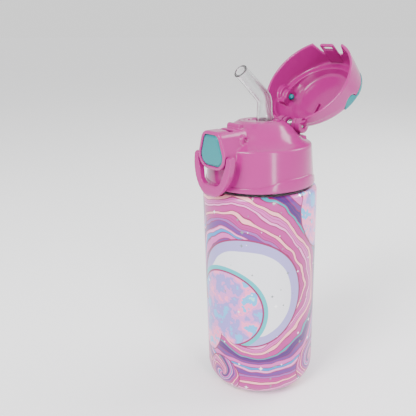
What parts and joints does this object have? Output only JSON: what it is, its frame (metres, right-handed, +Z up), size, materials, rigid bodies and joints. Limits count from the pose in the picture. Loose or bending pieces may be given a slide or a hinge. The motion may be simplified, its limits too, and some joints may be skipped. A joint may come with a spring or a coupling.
{
  "type": "kids' water bottle",
  "caption": "Insulated steel children's flask with a screw-on collar, push-button flip lid, folding straw spout, lock loop and carry handle.",
  "frame": {"origin": "centre of the standing ring, on the table", "axes": "+Z up along the flask; -Y is the button side; +X is to the right seen from the button side"},
  "size_m": [0.073, 0.1211, 0.2226],
  "materials": {
    "steel": "brushed",
    "print": "printed and clear-coated",
    "pink": "glossy",
    "teal": "glossy",
    "silicone": "clear",
    "white_plastic": "satin",
    "spring_steel": "bright"
  },
  "bodies": {
    "flask": {"outer_shell": "print", "base_cup": "steel", "inner_flask": "steel", "getter": "spring_steel"},
    "seal": {"neck_seal": "silicone"},
    "collar": {"collar_shell": "pink", "collar_liner": "white_plastic", "vent_valve": "silicone", "spout_ring": "pink", "spout_base": "silicone", "straw_tube": "white_plastic", "latch_pin": "spring_steel", "hinge_pin": "spring_steel", "button_spring": "spring_steel", "lid_spring": "spring_steel"},
    "button": {"button_cap": "teal", "latch_hook": "teal"},
    "lock_loop": {"lock_loop": "pink"},
    "spout": {"spout_tip": "silicone"},
    "lid": {"lid_shell": "pink"},
    "carry_handle": {"carry_handle": "teal"}
  },
  "joints": [
    {"name": "collar_lift", "type": "slide", "parent": "flask", "child": "seal", "axis": [0, 0, 1], "range_m": [0, 0.006]},
    {"name": "collar_unscrew", "type": "hinge", "parent": "seal", "child": "collar", "pos_m": [0, 0, 0.15], "axis": [0, 0, 1], "range_deg": [0, 540]},
    {"name": "button_press", "type": "slide", "parent": "collar", "child": "button", "axis": [0, 1, 0], "range_m": [0, 0.002], "stiffness_N_per_m": 800, "springref_m": -0.002, "deforming": ["button_spring"]},
    {"name": "loop_swing", "type": "hinge", "parent": "collar", "child": "lock_loop", "pos_m": [0, -0.0367, 0.1604], "axis": [-1, 0, 0], "range_deg": [0, 180]},
    {"name": "lid_hinge", "type": "hinge", "parent": "collar", "child": "lid", "pos_m": [0, 0.0292, 0.1726], "axis": [1, 0, 0], "range_deg": [0, 130], "stiffness_Nm_per_rad": 0.02, "springref_deg": -68.75, "deforming": ["lid_spring"]},
    {"name": "spout_fold", "type": "hinge", "parent": "collar", "child": "spout", "pos_m": [0, 0.0132, 0.1892], "axis": [1, 0, 0], "range_deg": [0, 45], "deforming": ["spout_tip", "spout_base"]},
    {"name": "handle_swing", "type": "hinge", "parent": "lid", "child": "carry_handle", "pos_m": [0, 0.05183, 0.18651], "axis": [-1, 0, 0], "range_deg": [0, 95]}
  ],
  "couplings": [
    {"joint": "collar_lift", "follows": "collar_unscrew", "m_per_rad": 0.00063662},
    {"joint": "spout_fold", "follows": "lid_hinge", "ratio": 0.345}
  ]
}
